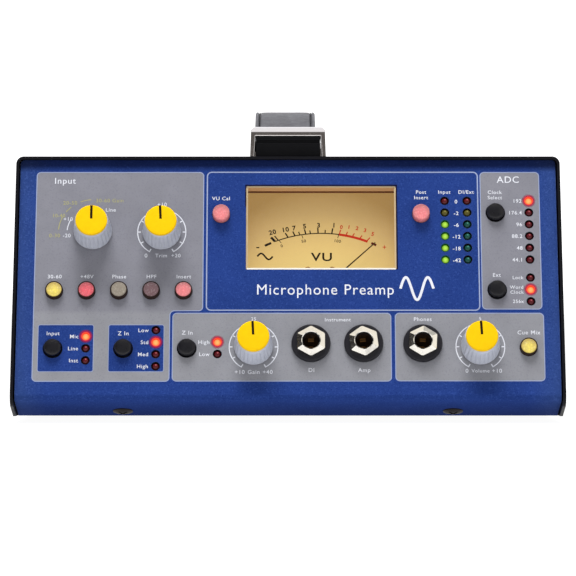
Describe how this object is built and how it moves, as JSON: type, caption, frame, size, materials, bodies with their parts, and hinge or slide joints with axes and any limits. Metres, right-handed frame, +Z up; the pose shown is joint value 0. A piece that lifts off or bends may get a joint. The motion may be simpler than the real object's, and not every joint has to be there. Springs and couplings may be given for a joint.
{
  "type": "microphone preamp",
  "caption": "Half-width desktop microphone preamp with a leaning control panel, lit needle meter, knobs, push buttons, jack sockets and a carrying strap on top.",
  "frame": {"origin": "middle of the whole unit's footprint, on the plane its feet stand on", "axes": "+X to the unit's right seen from the front, +Y to its rear, +Z up"},
  "size_m": [0.22, 0.2573, 0.1301],
  "materials": {
    "chassis_black": "satin black powder coat",
    "panel_blue": "fine textured enamel",
    "cover_black": "satin black powder coat",
    "foot_rubber": "matte",
    "screw_steel": "dark zinc",
    "screw_black": "black oxide",
    "cap_chrome": "polished",
    "strap_leather": "grained leatherette",
    "circuit_green": "solder mask",
    "standoff_steel": "plated",
    "winding_tape": "polyester tape over an iron core and copper winding",
    "clamp_steel": "zinc plated",
    "can_metal": "drawn mu-metal can with its core",
    "capacitor_sleeve": "sleeved",
    "sink_aluminium": "extruded",
    "ribbon_grey": "ribbed",
    "plate_steel": "nickel plated",
    "inlet_black": "moulded",
    "rocker_red": "moulded",
    "socket_black": "black chrome",
    "latch_steel": "plated",
    "pin_brass": "gold flashed",
    "jack_black": "moulded",
    "washer_black": "moulded",
    "nut_nickel": "nickel plated",
    "meter_black": "moulded",
    "dial_amber": "backlit print",
    "window_clear": "clear acrylic",
    "movement_steel": "plated",
    "needle_black": "blackened",
    "led_red": "tinted epoxy",
    "led_yellow": "tinted epoxy",
    "led_green": "tinted epoxy",
    "switch_grey": "moulded",
    "pot_blue": "moulded",
    "knob_grey": "soft-touch",
    "cap_yellow": "satin",
    "lens_yellow": "translucent, lit",
    "lens_red": "translucent, lit",
    "lens_clear": "translucent, unlit",
    "lens_dark_red": "translucent, unlit",
    "button_black": "satin"
  },
  "bodies": {
    "root": {"chassis_base": "chassis_black", "front_panel": "panel_blue", "top_cover": "cover_black", "rear_panel": "chassis_black", "feet": "foot_rubber", "case_screws": "screw_steel", "panel_screws": "screw_black", "strap_end_caps": "cap_chrome", "front_board": "circuit_green", "main_board": "circuit_green", "standoffs": "standoff_steel", "mains_transformer": "winding_tape", "transformer_clamp": "clamp_steel", "input_transformer": "can_metal", "capacitors": "capacitor_sleeve", "power_regulators": "sink_aluminium", "ribbon_cable": "ribbon_grey", "converter_card": "circuit_green", "card_plate": "plate_steel", "mains_inlet": "inlet_black", "mic_socket": "socket_black", "line_output": "socket_black", "contact_pins": "pin_brass", "jack_bodies": "jack_black", "jack_washers": "washer_black", "jack_nuts": "nut_nickel", "vu_case": "meter_black", "vu_dial": "dial_amber", "vu_window": "window_clear", "vu_movement": "movement_steel", "leds_red": "led_red", "leds_yellow": "led_yellow", "leds_green": "led_green", "switch_bodies": "switch_grey", "pot_bodies": "pot_blue"},
    "range_knob": {"range_knob": "knob_grey", "range_cap": "cap_yellow"},
    "trim_knob": {"trim_knob": "knob_grey", "trim_cap": "cap_yellow"},
    "gain_knob": {"gain_knob": "knob_grey", "gain_cap": "cap_yellow"},
    "volume_knob": {"volume_knob": "knob_grey", "volume_cap": "cap_yellow"},
    "gain_button": {"gain_button": "lens_yellow"},
    "phantom_button": {"phantom_button": "lens_red"},
    "phase_button": {"phase_button": "lens_clear"},
    "filter_button": {"filter_button": "lens_dark_red"},
    "insert_button": {"insert_button": "lens_red"},
    "meter_button": {"meter_button": "lens_red"},
    "post_button": {"post_button": "lens_red"},
    "cue_button": {"cue_button": "lens_yellow"},
    "input_button": {"input_button": "button_black"},
    "impedance_button": {"impedance_button": "button_black"},
    "instrument_button": {"instrument_button": "button_black"},
    "rate_button": {"rate_button": "button_black"},
    "clock_button": {"clock_button": "button_black"},
    "vu_needle": {"vu_needle": "needle_black"},
    "power_rocker": {"power_rocker": "rocker_red"},
    "mic_latch": {"mic_latch": "latch_steel"},
    "handle_strap": {"handle_strap": "strap_leather"}
  },
  "joints": [
    {"name": "range_turn", "type": "hinge", "parent": "root", "child": "range_knob", "pos_m": [-0.0785, -0.09696, 0.07641], "axis": [0, -0.9397, 0.342], "range_deg": [0, 90]},
    {"name": "trim_turn", "type": "hinge", "parent": "root", "child": "trim_knob", "pos_m": [-0.0508, -0.09699, 0.07631], "axis": [0, -0.9397, 0.342], "range_deg": [-153, 147]},
    {"name": "gain_turn", "type": "hinge", "parent": "root", "child": "gain_knob", "pos_m": [-0.0137, -0.11372, 0.03036], "axis": [0, -0.9397, 0.342], "range_deg": [-153, 147]},
    {"name": "volume_turn", "type": "hinge", "parent": "root", "child": "volume_knob", "pos_m": [0.0765, -0.11368, 0.03046], "axis": [0, -0.9397, 0.342], "range_deg": [-153, 147]},
    {"name": "gain_press", "type": "slide", "parent": "root", "child": "gain_button", "axis": [0, 0.9397, -0.342], "range_m": [0, 0.002], "stiffness_N_per_m": 400, "springref_m": -0.001},
    {"name": "phantom_press", "type": "slide", "parent": "root", "child": "phantom_button", "axis": [0, 0.9397, -0.342], "range_m": [0, 0.002], "stiffness_N_per_m": 400, "springref_m": -0.001},
    {"name": "phase_press", "type": "slide", "parent": "root", "child": "phase_button", "axis": [0, 0.9397, -0.342], "range_m": [0, 0.002], "stiffness_N_per_m": 400, "springref_m": -0.001},
    {"name": "filter_press", "type": "slide", "parent": "root", "child": "filter_button", "axis": [0, 0.9397, -0.342], "range_m": [0, 0.002], "stiffness_N_per_m": 400, "springref_m": -0.001},
    {"name": "insert_press", "type": "slide", "parent": "root", "child": "insert_button", "axis": [0, 0.9397, -0.342], "range_m": [0, 0.002], "stiffness_N_per_m": 400, "springref_m": -0.001},
    {"name": "meter_press", "type": "slide", "parent": "root", "child": "meter_button", "axis": [0, 0.9397, -0.342], "range_m": [0, 0.002], "stiffness_N_per_m": 400, "springref_m": -0.001},
    {"name": "post_press", "type": "slide", "parent": "root", "child": "post_button", "axis": [0, 0.9397, -0.342], "range_m": [0, 0.002], "stiffness_N_per_m": 400, "springref_m": -0.001},
    {"name": "cue_press", "type": "slide", "parent": "root", "child": "cue_button", "axis": [0, 0.9397, -0.342], "range_m": [0, 0.002], "stiffness_N_per_m": 400, "springref_m": -0.001},
    {"name": "input_press", "type": "slide", "parent": "root", "child": "input_button", "axis": [0, 0.9397, -0.342], "range_m": [0, 0.002], "stiffness_N_per_m": 400, "springref_m": -0.001},
    {"name": "impedance_press", "type": "slide", "parent": "root", "child": "impedance_button", "axis": [0, 0.9397, -0.342], "range_m": [0, 0.002], "stiffness_N_per_m": 400, "springref_m": -0.001},
    {"name": "instrument_press", "type": "slide", "parent": "root", "child": "instrument_button", "axis": [0, 0.9397, -0.342], "range_m": [0, 0.002], "stiffness_N_per_m": 400, "springref_m": -0.001},
    {"name": "rate_press", "type": "slide", "parent": "root", "child": "rate_button", "axis": [0, 0.9397, -0.342], "range_m": [0, 0.002], "stiffness_N_per_m": 400, "springref_m": -0.001},
    {"name": "clock_press", "type": "slide", "parent": "root", "child": "clock_button", "axis": [0, 0.9397, -0.342], "range_m": [0, 0.002], "stiffness_N_per_m": 400, "springref_m": -0.001},
    {"name": "needle_swing", "type": "hinge", "parent": "root", "child": "vu_needle", "pos_m": [0.0134, -0.09929, 0.05363], "axis": [0, -0.9397, 0.342], "range_deg": [-2, 94]},
    {"name": "power_rock", "type": "hinge", "parent": "root", "child": "power_rocker", "pos_m": [0.08, 0.11619, 0.067], "axis": [1, 0, 0], "range_deg": [0, 20]},
    {"name": "latch_press", "type": "slide", "parent": "root", "child": "mic_latch", "axis": [0, -1, 0], "range_m": [0, 0.0022], "stiffness_N_per_m": 300, "springref_m": -0.001},
    {"name": "strap_lift", "type": "slide", "parent": "root", "child": "handle_strap", "axis": [0, 0, 1], "range_m": [0, 0.0012]}
  ]
}
